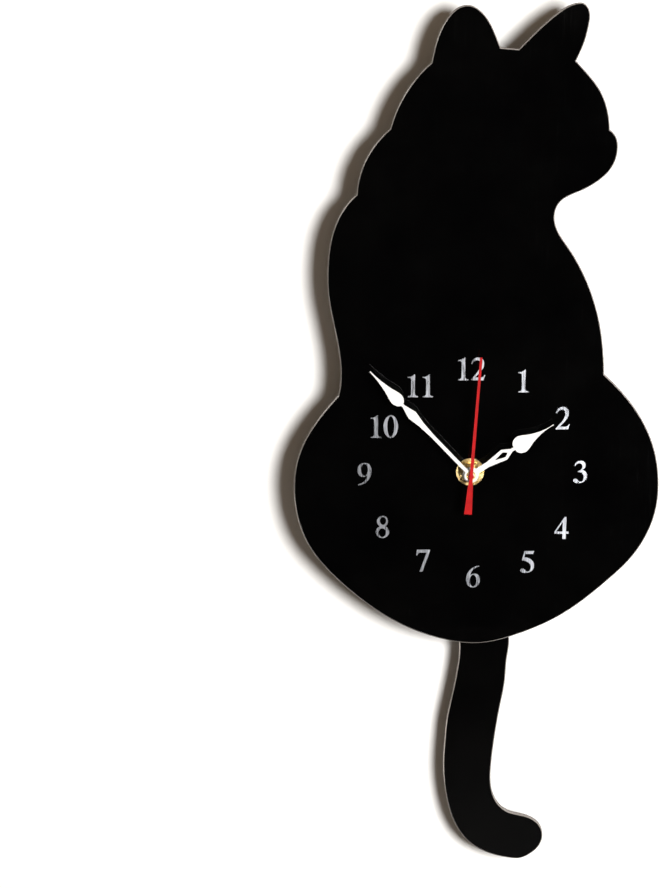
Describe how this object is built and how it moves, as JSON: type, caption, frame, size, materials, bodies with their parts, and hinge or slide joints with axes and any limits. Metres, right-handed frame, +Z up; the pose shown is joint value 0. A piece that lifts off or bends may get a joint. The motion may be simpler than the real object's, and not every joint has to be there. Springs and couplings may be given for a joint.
{
  "type": "cat tail wall clock",
  "caption": "Flat cat-shaped wall clock plate with stick-on numerals and spade hands, carried on a pendulum quartz movement whose lever swings a hanging tail plate.",
  "frame": {"origin": "centre of the nail hole in the hanger tab, on the wall plane", "axes": "+Z up, +X to the right seen from the front, the dial faces -Y, the wall is the plane Y = 0"},
  "size_m": [0.2018, 0.0332, 0.4916],
  "materials": {
    "black_acrylic": "polished",
    "mirror_silver": "mirror",
    "yellow_brass": "polished",
    "black_rubber": "matt",
    "white_hand_metal": "satin white lacquer",
    "red_hand_metal": "satin red lacquer",
    "zinc_steel": "zinc plated",
    "black_case_plastic": "fine texture",
    "white_gear_plastic": "moulded",
    "grey_knob_plastic": "moulded",
    "soft_iron": "plain",
    "copper_wire": "enamelled",
    "board_laminate": "solder mask",
    "black_resin": "gloss",
    "crystal_can": "plain",
    "cell_jacket": "satin",
    "contact_spring_steel": "nickel plated"
  },
  "bodies": {
    "clock_body": {"body_panel": "black_acrylic", "numeral_1": "mirror_silver", "numeral_2": "mirror_silver", "numeral_3": "mirror_silver", "numeral_4": "mirror_silver", "numeral_5": "mirror_silver", "numeral_6": "mirror_silver", "numeral_7": "mirror_silver", "numeral_8": "mirror_silver", "numeral_9": "mirror_silver", "numeral_10": "mirror_silver", "numeral_11": "mirror_silver", "numeral_12": "mirror_silver", "front_washer": "yellow_brass", "hex_nut": "yellow_brass", "rubber_washer": "black_rubber", "threaded_post": "yellow_brass", "wall_hanger": "zinc_steel", "movement_case": "black_case_plastic", "movement_cover": "black_case_plastic", "cover_screws": "zinc_steel", "train_plate": "white_gear_plastic", "stator": "soft_iron", "coil_core": "soft_iron", "coil_bobbin": "white_gear_plastic", "coil_winding": "copper_wire", "circuit_board": "board_laminate", "clock_chip": "black_resin", "quartz_crystal": "crystal_can", "battery": "cell_jacket", "positive_contact": "contact_spring_steel", "negative_contact": "contact_spring_steel", "pendulum_bobbin": "white_gear_plastic", "pendulum_coil": "copper_wire", "pivot_pin": "soft_iron"},
    "seconds_group": {"seconds_wheel": "white_gear_plastic", "second_hand": "red_hand_metal"},
    "minute_group": {"centre_wheel": "white_gear_plastic", "minute_hand": "white_hand_metal", "minute_collet": "yellow_brass"},
    "hour_group": {"hour_wheel": "white_gear_plastic", "hour_hand": "white_hand_metal"},
    "third_group": {"third_wheel": "white_gear_plastic"},
    "intermediate_group": {"intermediate_wheel": "white_gear_plastic"},
    "rotor_group": {"rotor": "white_gear_plastic", "rotor_magnet": "soft_iron"},
    "minute_work_group": {"minute_work_wheel": "white_gear_plastic"},
    "setting_group": {"setting_knob": "grey_knob_plastic"},
    "pendulum_group": {"tail": "black_acrylic", "tail_hook": "yellow_brass", "pendulum_lever": "white_gear_plastic", "lever_bushing": "yellow_brass", "pendulum_magnet": "soft_iron"}
  },
  "joints": [
    {"name": "second_turn", "type": "hinge", "parent": "clock_body", "child": "seconds_group", "pos_m": [0, 0, -0.042], "axis": [0, 1, 0], "continuous": true},
    {"name": "minute_turn", "type": "hinge", "parent": "clock_body", "child": "minute_group", "pos_m": [0, 0, -0.042], "axis": [0, 1, 0], "continuous": true},
    {"name": "hour_turn", "type": "hinge", "parent": "clock_body", "child": "hour_group", "pos_m": [0, 0, -0.042], "axis": [0, 1, 0], "continuous": true},
    {"name": "third_turn", "type": "hinge", "parent": "clock_body", "child": "third_group", "pos_m": [-0.00779, 0, -0.0375], "axis": [0, 1, 0], "continuous": true},
    {"name": "intermediate_turn", "type": "hinge", "parent": "clock_body", "child": "intermediate_group", "pos_m": [0.00758, 0, -0.03762], "axis": [0, 1, 0], "continuous": true},
    {"name": "rotor_turn", "type": "hinge", "parent": "clock_body", "child": "rotor_group", "pos_m": [0.00963, 0, -0.02997], "axis": [0, 1, 0], "continuous": true},
    {"name": "minute_work_turn", "type": "hinge", "parent": "clock_body", "child": "minute_work_group", "pos_m": [-0.00509, 0, -0.04709], "axis": [0, 1, 0], "continuous": true},
    {"name": "setting_turn", "type": "hinge", "parent": "clock_body", "child": "setting_group", "pos_m": [-0.01214, 0, -0.04966], "axis": [0, 1, 0], "continuous": true},
    {"name": "tail_swing", "type": "hinge", "parent": "clock_body", "child": "pendulum_group", "pos_m": [0, 0, -0.081], "axis": [0, 1, 0], "range_deg": [-6, 6]}
  ],
  "couplings": [
    {"joint": "minute_turn", "follows": "second_turn", "ratio": 0.016667},
    {"joint": "hour_turn", "follows": "second_turn", "ratio": 0.0013889},
    {"joint": "third_turn", "follows": "second_turn", "ratio": -0.13333},
    {"joint": "intermediate_turn", "follows": "second_turn", "ratio": -6},
    {"joint": "rotor_turn", "follows": "second_turn", "ratio": 30},
    {"joint": "minute_work_turn", "follows": "second_turn", "ratio": -0.0055556},
    {"joint": "setting_turn", "follows": "second_turn", "ratio": 0.014286}
  ]
}
